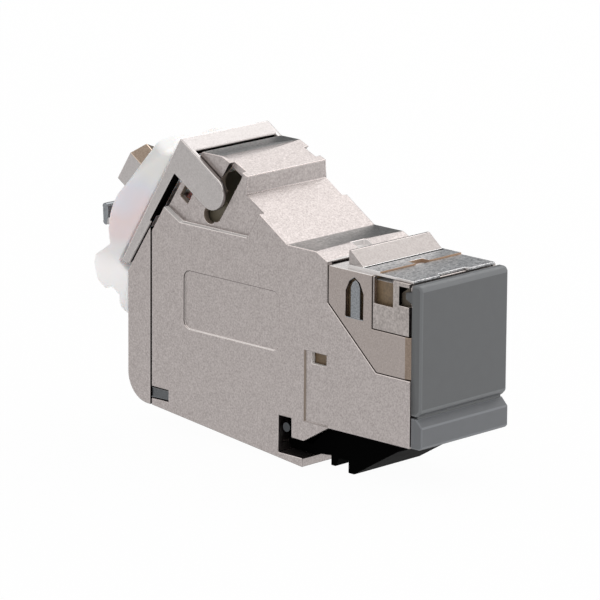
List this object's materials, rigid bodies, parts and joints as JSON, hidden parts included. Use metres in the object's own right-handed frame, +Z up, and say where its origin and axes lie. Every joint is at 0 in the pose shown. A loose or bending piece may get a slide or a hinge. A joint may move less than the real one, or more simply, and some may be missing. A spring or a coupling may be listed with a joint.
{
  "type": "shielded ethernet socket module",
  "caption": "Shielded snap-in ethernet wall socket module in satin die-cast metal, with a folding dust cover, a sprung panel latch and a swinging bail that closes a domed wire cap.",
  "frame": {"origin": "middle of the width, on the plane of the casing's front edge, at the lower edge of the front section", "axes": "+X across the width, +Y from the plug face to the rear, +Z up towards the sprung top plate"},
  "size_m": [0.0144, 0.0564, 0.0353],
  "materials": {
    "die_cast": "satin nickel on a fine cast surface",
    "sheet_metal": "rolled sheet, half matt",
    "milky_plastic": "milky, slightly translucent",
    "grey_plastic": "fine matt",
    "black_plastic": "satin",
    "pin_steel": "ground",
    "carrier_plastic": "satin",
    "board": "solder resist",
    "block_plastic": "satin",
    "contact_gold": "gold plated",
    "fork_tin": "tin plated"
  },
  "bodies": {
    "housing": {"main_housing": "die_cast", "front_shell": "die_cast", "shield_frame": "sheet_metal", "panel_spring": "sheet_metal", "rear_cover": "die_cast", "cover_base": "grey_plastic", "latch_pin": "pin_steel", "contact_carrier": "carrier_plastic", "circuit_board": "board", "terminal_block": "block_plastic", "pair_separator": "sheet_metal", "plug_contact_1": "contact_gold", "plug_contact_2": "contact_gold", "plug_contact_3": "contact_gold", "plug_contact_4": "contact_gold", "plug_contact_5": "contact_gold", "plug_contact_6": "contact_gold", "plug_contact_7": "contact_gold", "plug_contact_8": "contact_gold", "terminal_1": "fork_tin", "terminal_2": "fork_tin", "terminal_3": "fork_tin", "terminal_4": "fork_tin", "terminal_5": "fork_tin", "terminal_6": "fork_tin", "terminal_7": "fork_tin", "terminal_8": "fork_tin"},
    "bail": {"bail": "die_cast", "wire_cap": "milky_plastic", "cable_clamp": "sheet_metal"},
    "dust_cover": {"cover_flap": "grey_plastic"},
    "latch": {"panel_latch": "black_plastic"}
  },
  "joints": [
    {"name": "bail_hinge", "type": "hinge", "parent": "housing", "child": "bail", "pos_m": [0, 0.0315, 0.0242], "axis": [1, 0, 0], "range_deg": [0, 80]},
    {"name": "cover_hinge", "type": "hinge", "parent": "housing", "child": "dust_cover", "pos_m": [0, -0.0009, 0.0037], "axis": [1, 0, 0], "range_deg": [0, 90]},
    {"name": "latch_hinge", "type": "hinge", "parent": "housing", "child": "latch", "pos_m": [0, 0.01937, -0.0013], "axis": [-1, 0, 0], "range_deg": [0, 7], "stiffness_Nm_per_rad": 0.02, "springref_deg": -5.73}
  ]
}
